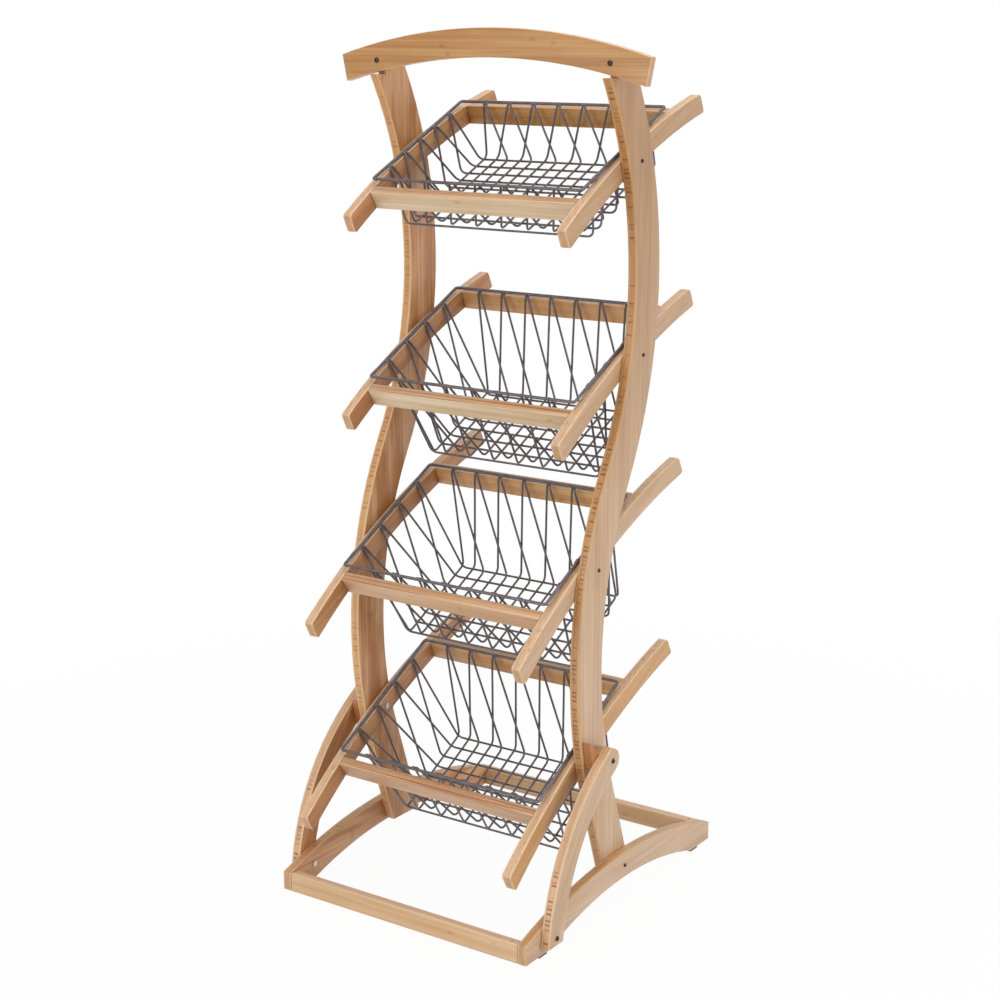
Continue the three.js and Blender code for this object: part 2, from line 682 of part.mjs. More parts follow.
function buildBasket(number, tier, pivot) {
  const { matrix } = tierPlane(tier, pivot);
  const { depth, insetX, insetY, sidePoints, sidePitch } = tier.basket;
  const crossInset = 2 * (WIRE + WIRE_CLEARANCE);
  let solid = sweep(rimPath(), RIM_WIRE, 6, true);
  const lay = (pairs, reach, inset, floor, across) => {
    pairs.forEach(({ rimAt, floorAt, lean }) => {
      const profile = wallProfile(reach, inset + (lean > 0 ? crossInset : 0), floor);
      solid = solid.add(sweep(uWire(profile, rimAt, floorAt, across), WIRE, 4, false));
    });
  };
  lay(wirePairs(BACK_POINTS, BACK_PITCH), RIM_HALF_DEPTH, insetY, depth, false);
  lay(wirePairs(sidePoints, sidePitch), RIM_HALF_WIDTH, insetX, depth + WIRE + WIRE_CLEARANCE, true);
  const seat = new THREE.Matrix4().makeTranslation(0, 0, ARM_HEIGHT / 2 + FIT_GAP + RIM_WIRE / 2);
  const g = toGeometry(solid);
  g.applyMatrix4(seat);
  g.applyMatrix4(matrix);
  addMesh("basket" + number, g, "wire");
}

buildUprights();
buildHeader();
buildBase();
buildBraces();
TIERS.forEach((tier, i) => {
  buildCradle(i + 1, tier, pivots[i]);
  buildBasket(i + 1, tier, pivots[i]);
});

export default root;
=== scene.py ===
"""Bakery bread rack: curved bamboo frame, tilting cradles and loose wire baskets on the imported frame."""

from __future__ import annotations

import json
import logging
import math
from collections.abc import Callable, Iterable, Sequence
from dataclasses import dataclass, field, replace
from enum import Enum
from functools import cache

import bmesh
import bpy
from bmesh.types import BMEdge, BMesh, BMFace, BMVert
from bpy.types import Material, Mesh, Node, NodeSocket, NodeTree, Object
from mathutils import Matrix, Vector

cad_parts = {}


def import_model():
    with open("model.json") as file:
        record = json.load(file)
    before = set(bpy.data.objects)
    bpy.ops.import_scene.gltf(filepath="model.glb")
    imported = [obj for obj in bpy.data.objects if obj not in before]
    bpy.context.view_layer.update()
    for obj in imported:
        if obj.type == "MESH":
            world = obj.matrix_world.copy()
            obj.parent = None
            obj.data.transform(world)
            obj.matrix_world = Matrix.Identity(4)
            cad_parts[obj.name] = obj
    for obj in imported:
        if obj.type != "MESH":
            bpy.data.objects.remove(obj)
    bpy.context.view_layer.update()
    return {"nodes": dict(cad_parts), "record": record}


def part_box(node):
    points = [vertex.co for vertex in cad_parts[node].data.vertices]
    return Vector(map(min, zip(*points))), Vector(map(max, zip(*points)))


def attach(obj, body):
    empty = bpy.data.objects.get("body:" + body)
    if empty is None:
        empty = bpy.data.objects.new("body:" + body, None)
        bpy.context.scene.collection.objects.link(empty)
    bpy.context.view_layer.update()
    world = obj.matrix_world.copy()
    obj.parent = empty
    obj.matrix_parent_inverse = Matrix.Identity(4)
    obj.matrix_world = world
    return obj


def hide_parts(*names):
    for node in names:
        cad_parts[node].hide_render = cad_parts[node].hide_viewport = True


log = logging.getLogger("bread_rack")

Colour = tuple[float, float, float]
Screen = tuple[int, int, int]
Span = tuple[float, float]
Line = tuple[Vector, Vector]
Socket = NodeSocket

GRAIN = "grain"
MM = 0.001
RIGHT = Vector((1.0, 0.0, 0.0))
BACK = Vector((0.0, 1.0, 0.0))
FRONT = Vector((0.0, -1.0, 0.0))
UP = Vector((0.0, 0.0, 1.0))
WHITE = (1.0, 1.0, 1.0)
PLY_STACK = 0.0192
NARROW_STRIP = 0.0068
WELD = 0.00001
DOUBLES = 0.000002
FLAT_ANGLE = math.radians(0.4)
RING_SIDES = 24
FIBRE_RANGE = (0.3, 0.75)
STREAK_RANGE = (0.35, 0.7)
CLOUD_RANGE = (0.3, 0.7)


def srgb(colour: Screen) -> Colour:
    """Turn a colour written in 0-255 screen values into linear light.

    Args:
        colour: Red, green and blue screen values.

    Returns:
        The linear colour.
    """
    values = []
    for part in colour:
        share = part / 255.0
        values.append(share / 12.92 if share <= 0.04045 else ((share + 0.055) / 1.055) ** 2.4)
    return (values[0], values[1], values[2])


class BoardSide(Enum):
    """The four kinds of surface on a board, in the order of its material slots."""

    FACE = 0
    EDGE = 1
    INNER = 2
    END = 3


class NodeWriter:
    """A small writer for the nodes of one tree."""

    def __init__(self, tree: NodeTree) -> None:
        """Start writing in an emptied tree."""
        self.tree = tree
        tree.nodes.clear()

    def link(self, source: Socket, target: Socket) -> None:
        """Join two sockets."""
        self.tree.links.new(source, target)

    def feed(self, target: Socket, value: object) -> None:
        """Put a socket's link or a plain value on an input.

        Args:
            target: The input socket.
            value: An output socket, a number or a sequence of numbers.
        """
        if isinstance(value, Socket):
            self.link(value, target)
        elif isinstance(value, tuple) and len(value) == 3 and target.type == "RGBA":
            target.default_value = (*value, 1.0)
        else:
            target.default_value = value

    def node(self, kind: str, inputs: dict[str | int, object] | None = None, **options: object) -> Node:
        """Add a node.

        Args:
            kind: The node's type name.
            inputs: Values or links by socket name or number.
            **options: Properties of the node itself.

        Returns:
            The new node.
        """
        made = self.tree.nodes.new(kind)
        for key, value in options.items():
            setattr(made, key, value)
        for key, value in (inputs or {}).items():
            self.feed(made.inputs[key], value)
        return made

    def math(self, operation: str, *values: object) -> Socket:
        """Add a Math node with its inputs in order and return its result."""
        return self.node("ShaderNodeMath", dict(enumerate(values)), operation=operation).outputs[0]

    def background_rays(self) -> Socket:
        """Find the rays that show the background: direct, mirrored or seen through glass.

        Returns:
            1 on such a ray and 0 on any other.
        """
        rays = self.node("ShaderNodeLightPath").outputs
        seen = self.math("MAXIMUM", rays["Is Camera Ray"], rays["Is Glossy Ray"])
        return self.math("MAXIMUM", seen, rays["Is Transmission Ray"])


class ShaderGraph(NodeWriter):
    """A writer for one material's nodes."""

    def __init__(self, name: str) -> None:
        """Start a material with a Principled shader and an output.

        Args:
            name: Name of the material.
        """
        self.material = bpy.data.materials.new(name)
        self.material.use_nodes = True
        super().__init__(self.material.node_tree)
        self.output = self.node("ShaderNodeOutputMaterial")
        self.shader = self.node("ShaderNodeBsdfPrincipled")
        self.link(self.shader.outputs["BSDF"], self.output.inputs["Surface"])

    def set(self, label: str, value: object) -> None:
        """Put a link or a plain value on one of the shader's inputs."""
        self.feed(self.shader.inputs[label], value)

    def place(self) -> Socket:
        """Return the place on the object."""
        return self.node("ShaderNodeTexCoord").outputs["Object"]

    def ramp(
        self, value: object, low: float, high: float, to_low: float = 0.0, to_high: float = 1.0
    ) -> Socket:
        """Map a value smoothly from the range of low and high to that of to_low and to_high."""
        ends = {"Value": value, "From Min": low, "From Max": high, "To Min": to_low, "To Max": to_high}
        return self.node("ShaderNodeMapRange", ends, interpolation_type="SMOOTHSTEP").outputs["Result"]

    def blend(self, factor: object, first: object, second: object, mode: str = "MIX") -> Socket:
        """Mix two colours by the share of the second one."""
        inputs = {0: factor, 6: first, 7: second}
        return self.node("ShaderNodeMix", inputs, data_type="RGBA", blend_type=mode).outputs[2]

    def noise(self, vector: object, scale: float, detail: float = 2.0) -> Socket:
        """Add a noise pattern and return its value socket."""
        inputs = {"Vector": vector, "Scale": scale, "Detail": detail}
        return self.node("ShaderNodeTexNoise", inputs).outputs["Fac"]

    def bump(self, height: object, strength: float, distance: float) -> None:
        """Raise the shader's surface by a height socket, with its share and its depth in metres."""
        inputs = {"Height": height, "Strength": strength, "Distance": distance}
        self.set("Normal", self.node("ShaderNodeBump", inputs).outputs["Normal"])


class WoodGraph(ShaderGraph):
    """A writer for a lacquered bamboo material, laid out along the board's own grain."""

    def __init__(self, name: str) -> None:
        """Start with the grain's three directions and the height over the floor.

        Args:
            name: Name of the material.
        """
        super().__init__(name)
        self.grain = self.node("ShaderNodeAttribute", attribute_name=GRAIN).outputs["Vector"]
        self.along, self.across, self.through = self.node("ShaderNodeSeparateXYZ", {0: self.grain}).outputs
        self.height = self.node("ShaderNodeSeparateXYZ", {0: self.place()}).outputs["Z"]

    def pattern(self, scale: Colour, detail: float) -> Socket:
        """Add a noise pattern with its own scale along, across and through the wood."""
        drawn = self.node("ShaderNodeVectorMath", {0: self.grain, 1: scale}, operation="MULTIPLY")
        return self.noise(drawn.outputs[0], 1.0, detail)

    def marks(
        self, place: Socket, row: Socket, share: object, wander: float, reach: Span, weight: float
    ) -> tuple[Socket, Socket]:
        """Scatter the marks of the canes' joints along the grain, at most one in each cell.

        Args:
            place: Place along the grain, counted in cells.
            row: Number of the strip or the board.
            share: Share of the cells that hold a mark.
            wander: How far a mark strays from the middle of its cell.
            reach: Where a mark starts to fade and where it ends, in cells from its middle.
            weight: Strength of a mark at its middle.

        Returns:
            The marks' strength, and a random value for each cell.
        """
        key = self.node("ShaderNodeCombineXYZ", {0: row, 1: self.math("FLOOR", place), 2: 0.5}).outputs[0]
        luck = self.node("ShaderNodeTexWhiteNoise", {"Vector": key}, noise_dimensions="3D").outputs
        present = self.math("LESS_THAN", luck["Value"], share)
        chance = self.node("ShaderNodeSeparateColor", {0: luck["Color"]}).outputs
        middle = self.ramp(chance[1], 0.0, 1.0, 0.5 - wander, 0.5 + wander)
        off = self.math("ABSOLUTE", self.math("SUBTRACT", self.math("FRACT", place), middle))
        return self.math("MULTIPLY", self.ramp(off, *reach, weight, 0.0), present), chance[2]

    def lacquer(self, wood: Socket, fibre: Socket, relief: Socket, finish: Bamboo) -> Material:
        """Darken and warm the wood towards its top as painted shade, and give it its gloss, its fine relief
        and its clear coat.

        Args:
            wood: Colour of the wood.
            fibre: Fibre pattern that varies the gloss.
            relief: Height pattern.
            finish: The finish with its painted top shade, roughness and coat.

        Returns:
            The finished material.
        """
        # painted shade: the colour darkens and warms from height low to height high, where less light falls
        top_shade_share = self.ramp(self.height, finish.low, finish.high)
        self.set("Base Color", self.blend(top_shade_share, wood, finish.painted_top_shade, "MULTIPLY"))
        self.set("Roughness", self.ramp(fibre, 0.2, 0.8, finish.roughness - 0.06, finish.roughness + 0.1))
        self.bump(relief, 0.22, 0.0003)
        self.set("Coat Weight", finish.coat)
        self.set("Coat Roughness", 0.3)
        return self.material


@dataclass(frozen=True)
class Finish:
    """A surface finish, with the two screen colours that its pattern varies between."""

    name: str
    pale: Screen
    deep: Screen

    def build(self) -> Material:
        """Make the finish's material."""
        raise NotImplementedError


@dataclass(frozen=True, kw_only=True)
class Bamboo(Finish):
    """Lacquered laminated bamboo, with painted shade that darkens and warms it more and more from a low
    height to a high one.
    """

    # painted shade multiplied into the colour, growing from height low to height high
    painted_top_shade: Colour = WHITE
    low: float = 0.25
    high: float = 1.6
    roughness: float = 0.42
    coat: float = 0.16


@dataclass(frozen=True, kw_only=True)
class BambooFace(Bamboo):
    """Broad face of a board: glued strips, fine fibres and soft golden cane joints."""

    joint: Screen
    strip: float = 0.0195
    strip_contrast: float = 0.42
    fibre: float = 0.3
    streak: float = 0.32
    cloud: float = 0.34
    joint_pitch: float = 0.21
    joint_length: float = 0.013
    joint_share: float = 0.16
    joint_shift: float = 7.31
    seam: float = 0.14

    def build(self) -> Material:
        """Make the material.

        Returns:
            The finished material.
        """
        graph = WoodGraph(self.name)
        step = graph.math("DIVIDE", graph.across, self.strip)
        strip_id = graph.math("FLOOR", step)
        tone = graph.node("ShaderNodeTexWhiteNoise", {"W": strip_id}, noise_dimensions="1D").outputs["Value"]
        fibre = graph.pattern((8.0, 560.0, 560.0), 3.0)
        streak = graph.pattern((2.5, 150.0, 150.0), 2.0)
        cloud = graph.pattern((5.0, 24.0, 24.0), 2.0)
        share = graph.math("MULTIPLY", tone, self.strip_contrast)
        share = graph.math("ADD", share, graph.ramp(fibre, *FIBRE_RANGE, 0.0, self.fibre))
        share = graph.math("ADD", share, graph.ramp(streak, *STREAK_RANGE, 0.0, self.streak))
        share = graph.math("ADD", share, graph.ramp(cloud, *CLOUD_RANGE, 0.0, self.cloud))
        wood = graph.blend(graph.math("MINIMUM", share, 1.0), srgb(self.pale), srgb(self.deep))
        wood = graph.blend(self._joints(graph, strip_id, tone, cloud), wood, srgb(self.joint))
        edge = graph.math("ABSOLUTE", graph.math("SUBTRACT", graph.math("FRACT", step), 0.5))
        seam = graph.math("MULTIPLY", graph.ramp(edge, 0.47, 0.5), self.seam)
        wood = graph.blend(seam, wood, srgb(self.joint))
        relief = graph.math("SUBTRACT", fibre, graph.math("MULTIPLY", seam, 0.8))
        return graph.lacquer(wood, fibre, relief, self)

    def _joints(self, graph: WoodGraph, strip_id: Socket, tone: Socket, cloud: Socket) -> Socket:
        """Scatter the soft marks of the canes' joints over the strips.

        Args:
            graph: The material's graph.
            strip_id: Number of the strip.
            tone: Random tone of the strip.
            cloud: Soft pattern that breaks the marks up.

        Returns:
            The marks' share of the colour.
        """
        start = graph.math("MULTIPLY", tone, self.joint_shift)
        place = graph.math("ADD", graph.math("DIVIDE", graph.along, self.joint_pitch), start)
        half = 0.5 * self.joint_length / self.joint_pitch
        mark, _ = graph.marks(place, strip_id, self.joint_share, 0.25, (0.3 * half, 1.4 * half), 0.6)
        return graph.math("MULTIPLY", mark, graph.ramp(cloud, 0.3, 0.6, 0.4, 1.0))


@dataclass(frozen=True, kw_only=True)
class BambooEdge(Bamboo):
    """Sawn edge of a board: pale outer plies and a core with the canes' joints as short bars."""

    outer: Screen
    bar: Screen
    bar_share: float = 0.0
    streak: float
    fibre: float = 0.4
    cloud: float = 0.6
    core: float = 0.0052
    bar_pitch: float = 0.0082
    bar_length: float = 0.0034
    bar_groups: float = 11.0
    fade_low: float = 5.0
    fade_high: float = 6.0
    roughness: float = 0.44
    coat: float = 0.14

    def build(self) -> Material:
        """Make the material.

        Returns:
            The finished material.
        """
        graph = WoodGraph(self.name)
        stack = graph.math("DIVIDE", graph.through, PLY_STACK)
        board_id = graph.math("FLOOR", stack)
        ply = graph.math("SUBTRACT", graph.math("FRACT", stack), 0.5)
        depth = graph.math("MULTIPLY", graph.math("ABSOLUTE", ply), PLY_STACK)
        in_core = graph.ramp(depth, 0.88 * self.core, 1.08 * self.core, 1.0, 0.0)
        fibre = graph.pattern((9.0, 560.0, 560.0), 3.0)
        cloud = graph.pattern((6.0, 40.0, 120.0), 2.0)
        lines = graph.pattern((1.6, 420.0, 420.0), 1.0)
        share = graph.ramp(fibre, *FIBRE_RANGE, 0.0, self.fibre)
        share = graph.math("ADD", share, graph.ramp(cloud, *CLOUD_RANGE, 0.0, self.cloud))
        core = graph.blend(share, srgb(self.pale), srgb(self.deep))
        plies = graph.blend(graph.math("MULTIPLY", share, 0.5), srgb(self.outer), srgb(self.pale))
        wood = graph.blend(in_core, plies, core)
        wood = graph.blend(graph.ramp(lines, 0.56, 0.64, 0.0, self.streak), wood, srgb(self.bar))
        bars = graph.math("MULTIPLY", self._bars(graph, board_id), in_core)
        below = graph.ramp(graph.height, self.fade_low, self.fade_high, 1.0, 0.0)
        bars = graph.math("MULTIPLY", bars, below)
        ragged = graph.math("MULTIPLY", bars, graph.ramp(fibre, 0.25, 0.6, 0.55, 1.0))
        glue = graph.math("ABSOLUTE", graph.math("SUBTRACT", depth, self.core))
        glue = graph.ramp(glue, 0.0002, 0.0006, 0.22, 0.0)
        wood = graph.blend(graph.math("MAXIMUM", ragged, glue), wood, srgb(self.bar))
        relief = graph.math("SUBTRACT", fibre, graph.math("MULTIPLY", glue, 1.5))
        return graph.lacquer(wood, fibre, relief, self)

    def _bars(self, graph: WoodGraph, board_id: Socket) -> Socket:
        """Set the short dark bars along the core, in loose groups.

        Args:
            graph: The material's graph.
            board_id: Number of the board.

        Returns:
            The bars' share of the colour.
        """
        swing = graph.math("MULTIPLY", graph.along, self.bar_groups)
        where = graph.node("ShaderNodeCombineXYZ", {0: swing, 1: board_id, 2: 0.5}).outputs[0]
        group = graph.ramp(graph.noise(where, 1.0, 1.0), 0.42, 0.56, 0.15 * self.bar_share, self.bar_share)
        place = graph.math("DIVIDE", graph.along, self.bar_pitch)
        half = 0.5 * self.bar_length / self.bar_pitch
        bar, chance = graph.marks(place, board_id, group, 0.2, (0.6 * half, 1.3 * half), 1.0)
        return graph.math("MULTIPLY", bar, graph.ramp(chance, 0.0, 1.0, 0.45, 1.0))


@dataclass(frozen=True, kw_only=True)
class MetalFinish(Finish):
    """Metal with a fine mottle in its colour and gloss."""

    metallic: float
    roughness: float
    mottle: float

    def build(self) -> Material:
        """Make the material.

        Returns:
            The finished material.
        """
        graph = ShaderGraph(self.name)
        place = graph.place()
        speck = graph.noise(place, self.mottle, 3.0)
        patch = graph.noise(place, self.mottle * 0.08, 2.0)
        share = graph.ramp(speck, 0.35, 0.65, 0.0, 0.5)
        share = graph.math("ADD", share, graph.ramp(patch, *CLOUD_RANGE, 0.0, 0.5))
        graph.set("Base Color", graph.blend(share, srgb(self.pale), srgb(self.deep)))
        graph.set("Roughness", graph.ramp(speck, *CLOUD_RANGE, self.roughness - 0.05, self.roughness + 0.08))
        graph.set("Metallic", self.metallic)
        graph.bump(speck, 0.15, 0.0001)
        return graph.material


@dataclass(frozen=True)
class RubberFinish(Finish):
    """Matt rubber with a soft grain."""

    grain: float = 700.0

    def build(self) -> Material:
        """Make the material.

        Returns:
            The finished material.
        """
        graph = ShaderGraph(self.name)
        speck = graph.noise(graph.place(), self.grain, 3.0)
        share = graph.ramp(speck, *CLOUD_RANGE)
        graph.set("Base Color", graph.blend(share, srgb(self.pale), srgb(self.deep)))
        graph.set("Roughness", graph.ramp(speck, *CLOUD_RANGE, 0.7, 0.9))
        graph.bump(speck, 0.3, 0.0002)
        return graph.material


SIDE_PANEL = BambooFace(
    "side_panel", (208, 179, 150), (180, 146, 113), joint=(200, 158, 96), painted_top_shade=(0.745, 0.615, 0.465)
)
ARM_PANEL = replace(
    SIDE_PANEL, name="arm_panel", pale=(214, 186, 158), deep=(186, 153, 121), painted_top_shade=(0.78, 0.66, 0.51)
)
# Painted shade: the inner faces of the uprights, runners and braces, darker and more orange than the outer
# faces, with large blotches of painted shadow cast by the rack's own parts.
SHADED_INNER_PANEL = BambooFace(
    "warm_panel", (230, 184, 138), (178, 117, 66), joint=(166, 102, 50), strip_contrast=0.3, cloud=0.8
)
# Painted shade: the arms' inner faces, darker and more orange than their outer faces.
SHADED_ARM_INNER_PANEL = BambooFace(
    "arm_inner_panel", (208, 157, 109), (170, 113, 66), joint=(162, 100, 50), cloud=0.6
)
GOLDEN_PANEL = BambooFace("golden_panel", (206, 164, 114), (180, 134, 84), joint=(186, 130, 66))
# Painted shade: the brace spacer, coloured dark orange-brown as it sits in shadow between the upright and
# the brace.
SHADED_BLOCK_PANEL = BambooFace("block_panel", (188, 130, 82), (160, 102, 58), joint=(140, 86, 44))
HEADER_PANEL = BambooFace(
    "header_panel", (206, 157, 97), (173, 119, 63), joint=(152, 98, 48), strip=NARROW_STRIP
)
RAIL_PANEL = BambooFace(
    "rail_panel", (227, 209, 180), (201, 170, 130), joint=(190, 142, 90), strip=NARROW_STRIP
)
# Painted shade: a darker copy of the rail finish for the lower tiers' front rails, which tilt further down,
# away from the light.
SHADED_LOW_RAIL_PANEL = BambooFace(
    "low_rail_panel", (217, 182, 148), (190, 147, 108), joint=(182, 124, 72), strip=NARROW_STRIP
)
BASE_RAIL_PANEL = BambooFace(
    "base_rail_panel", (224, 191, 151), (197, 155, 110), joint=(188, 132, 78), strip=NARROW_STRIP
)
BACK_RAIL_PANEL = BambooFace(
    "back_rail_panel", (224, 179, 127), (196, 143, 91), joint=(162, 106, 56), strip=NARROW_STRIP
)
# Ply edge with dark bars; the right upright's front edge uses it as the shaded copy of a painted-light pair.
BARRED_EDGE = BambooEdge(
    "barred_edge",
    (198, 151, 99),
    (172, 119, 70),
    outer=(204, 161, 107),
    bar=(122, 70, 33),
    bar_share=0.85,
    streak=0.14,
    painted_top_shade=(0.93, 0.82, 0.68),
)
# Painted light: a lighter copy of the barred edge for the left upright's front edge.
LIT_BARRED_EDGE = replace(
    BARRED_EDGE,
    name="lit_barred_edge",
    pale=(218, 174, 124),
    deep=(193, 144, 95),
    outer=(224, 183, 134),
    bar=(168, 115, 70),
    bar_share=0.6,
)
BRACE_EDGE = BambooEdge(
    "brace_edge",
    (220, 181, 142),
    (196, 149, 106),
    outer=(222, 186, 148),
    bar=(132, 80, 42),
    bar_share=0.9,
    streak=0.16,
    fade_low=0.17,
    fade_high=0.23,
)
# Painted light: the arms' edges, paler than the other edges, as the arms' top edges are lit from above.
LIT_ARM_EDGE = BambooEdge(
    "arm_edge", (224, 188, 152), (202, 158, 116), outer=(226, 191, 155), bar=(166, 112, 70), streak=0.4
)
GOLDEN_EDGE = BambooEdge(
    "golden_edge",
    (206, 160, 110),
    (180, 130, 82),
    outer=(208, 166, 118),
    bar=(150, 96, 54),
    bar_share=0.12,
    streak=0.25,
)
# Painted shade: the spacer's edges, dark like its faces.
SHADED_BLOCK_EDGE = BambooEdge(
    "block_edge", (190, 130, 80), (162, 104, 58), outer=(184, 124, 74), bar=(138, 84, 42), streak=0.2
)
PALE_EDGE = BambooEdge(
    "pale_edge",
    (226, 192, 160),
    (206, 164, 126),
    outer=(228, 194, 160),
    bar=(166, 116, 78),
    bar_share=0.2,
    streak=0.18,
)
# Rails' edges with heavy dark streaks: partly grain, partly painted shade along the tops where the basket
# rim shades them.
STREAKED_SHADED_EDGE = BambooEdge(
    "streaked_edge", (214, 170, 126), (192, 140, 94), outer=(224, 186, 146), bar=(150, 90, 54), streak=0.85
)
# End grain, partly painted shade: darkened because the board ends face down and away from the light.
SHADED_END_CUT = BambooEdge(
    "end_cut", (202, 162, 122), (178, 132, 92), outer=(208, 169, 129), bar=(152, 100, 60), streak=0.1
)
WIRE_COAT = MetalFinish(
    "wire_coat", (116, 109, 111), (86, 79, 82), metallic=0.5, roughness=0.34, mottle=900.0
)
BLACK_OXIDE = MetalFinish(
    "black_oxide", (80, 70, 61), (50, 44, 38), metallic=0.7, roughness=0.42, mottle=1500.0
)
ZINC_PLATE = MetalFinish(
    "zinc_plate", (206, 208, 211), (176, 178, 182), metallic=1.0, roughness=0.3, mottle=1200.0
)
FOOT_RUBBER = RubberFinish("foot_rubber", (70, 62, 56), (46, 41, 38))


@cache
def material_of(finish: Finish) -> Material:
    """Return the material of a finish, made on its first use."""
    return finish.build()


def add_object(name: str, mesh: Mesh) -> Object:
    """Put a mesh into the scene at the origin.

    Args:
        name: Object name.
        mesh: Its mesh.

    Returns:
        The new object.
    """
    made = bpy.data.objects.new(name, mesh)
    bpy.context.scene.collection.objects.link(made)
    return made


def settle(obj: Object, body: str, nodes: Sequence[str]) -> None:
    """Give a finished piece its body and the CAD nodes that it stands for.

    Args:
        obj: The piece.
        body: CAD body that it moves with.
        nodes: CAD nodes that it replaces.
    """
    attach(obj, body)
    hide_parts(*nodes)
    log.info("%s: %d faces on %s", obj.name, len(obj.data.polygons), body)


def eased_copy(source: Object, is_corner: Callable[[BMEdge], bool], ease: float) -> BMesh:
    """Copy a CAD node's mesh with flat faces joined and its corners rounded.

    Args:
        source: The CAD node's object.
        is_corner: Says whether an edge is rounded.
        ease: Width of the rounding.

    Returns:
        The working mesh.
    """
    work = bmesh.new()
    work.from_mesh(source.data)
    bmesh.ops.remove_doubles(work, verts=work.verts, dist=DOUBLES)
    bmesh.ops.dissolve_limit(work, angle_limit=FLAT_ANGLE, verts=work.verts, edges=work.edges)
    corners = [edge for edge in work.edges if is_corner(edge)]
    bmesh.ops.bevel(work, geom=corners, offset=ease, segments=3, profile=0.5, affect="EDGES")
    return work


def close_mesh(work: BMesh, name: str, sharp: float) -> Mesh:
    """Close a working mesh into a smooth-shaded mesh with its sharp corners kept.

    Args:
        work: The working mesh, which is freed.
        name: Name of the result.
        sharp: Angle in degrees from which a corner is sharp.

    Returns:
        The mesh.
    """
    for polygon in work.faces:
        polygon.smooth = True
    mesh = bpy.data.meshes.new(name)
    work.to_mesh(mesh)
    work.free()
    mesh.set_sharp_from_angle(angle=math.radians(sharp))
    return mesh


@dataclass
class Board:
    """One board: the CAD solid with eased edges and its grain laid along the wood."""

    node: str
    body: str
    along: Vector
    across: Vector
    face: BambooFace
    edge: BambooEdge
    inner: BambooFace | None = None
    slot: str = "board"
    ease: float = 0.0015
    sharp: float = 28.0
    corner_angle: float = 35.0
    bolt_clear: float = 0.0045
    flat_share: float = 0.9
    end_share: float = 0.85
    inward: float = -0.0001
    along_shift: float = 3.7
    across_shift: float = 1.9
    stack_shift: int = 97

    def build(self, source: Object, bolts: Sequence[Line], seed: float) -> None:
        """Copy, ease and dress the board.

        Args:
            source: The CAD node's object.
            bolts: The bolts' centre lines.
            seed: The board's own shift of its pattern.
        """
        work = eased_copy(source, lambda edge: self._is_corner(edge, bolts), self.ease)
        thick = self.along.cross(self.across).normalized()
        for polygon in work.faces:
            polygon.material_index = self._side_of(polygon, thick).value
        mesh = close_mesh(work, self.node + "_board", self.sharp)
        for finish in (self.face, self.edge, self.inner or self.face, SHADED_END_CUT):
            mesh.materials.append(material_of(finish))
        self._lay_grain(mesh, thick, seed)
        settle(add_object(self.node + "_board", mesh), self.body, [self.node])

    def _side_of(self, polygon: BMFace, thick: Vector) -> BoardSide:
        """Say which kind of surface a face belongs to.

        Args:
            polygon: The face.
            thick: Direction through the board.

        Returns:
            Its kind; the inner face is the broad one that looks towards the rack's middle.
        """
        if abs(polygon.normal.dot(thick)) > self.flat_share:
            inward = polygon.normal.x * polygon.calc_center_median().x < self.inward
            return BoardSide.INNER if inward else BoardSide.FACE
        return BoardSide.END if abs(polygon.normal.dot(self.along)) > self.end_share else BoardSide.EDGE

    def _is_corner(self, edge: BMEdge, bolts: Sequence[Line]) -> bool:
        """Say whether an edge is an outside corner of the board and not the rim of a bolt hole.

        Args:
            edge: The edge.
            bolts: The bolts' centre lines.

        Returns:
            True for an outside corner.
        """
        if len(edge.link_faces) != 2 or edge.calc_face_angle(0.0) < math.radians(self.corner_angle):
            return False
        middle = (edge.verts[0].co + edge.verts[1].co) / 2
        for point, axis in bolts:
            reach = middle - point
            if (reach - axis * reach.dot(axis)).length < self.bolt_clear:
                return False
        return edge.is_convex

    def _lay_grain(self, mesh: Mesh, thick: Vector, seed: float) -> None:
        """Store each point's place along, across and through the wood.

        Args:
            mesh: The board's mesh.
            thick: Direction through the board.
            seed: The board's own shift of its pattern.
        """
        depths = [vertex.co.dot(thick) for vertex in mesh.vertices]
        centre = (min(depths) + max(depths)) / 2
        level = PLY_STACK * (0.5 + round(self.stack_shift * seed))
        layer = mesh.attributes.new(GRAIN, "FLOAT_VECTOR", "POINT")
        for vertex, depth, item in zip(mesh.vertices, depths, layer.data):
            along = vertex.co.dot(self.along) + self.along_shift * seed
            across = vertex.co.dot(self.across) + self.across_shift * seed
            item.vector = (along, across, depth - centre + level)


@dataclass
class TierPlane:
    """The sloping plane of one tier: the basket rim's middle, the slope's direction and its normal."""

    number: int
    middle: Vector
    up_slope: Vector
    out: Vector

    @classmethod
    def from_record(cls, record: dict, number: int) -> TierPlane:
        """Read a tier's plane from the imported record's lift joint.

        Args:
            record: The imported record.
            number: Tier number, 1 at the top.

        Returns:
            The tier's plane.
        """
        joint = next(j for j in record["behaviour"]["joints"] if j["name"] == f"lift{number}")
        out = Vector(joint["axis"]).normalized()
        return cls(number, Vector(joint["pos_m"]), Vector((0.0, out.z, -out.y)), out)

    def at(self, x: float, along: float, height: float) -> Vector:
        """Return the point at a place given across, up the slope and out of it, in millimetres."""
        return self.middle + MM * (RIGHT * x + self.up_slope * along + self.out * height)


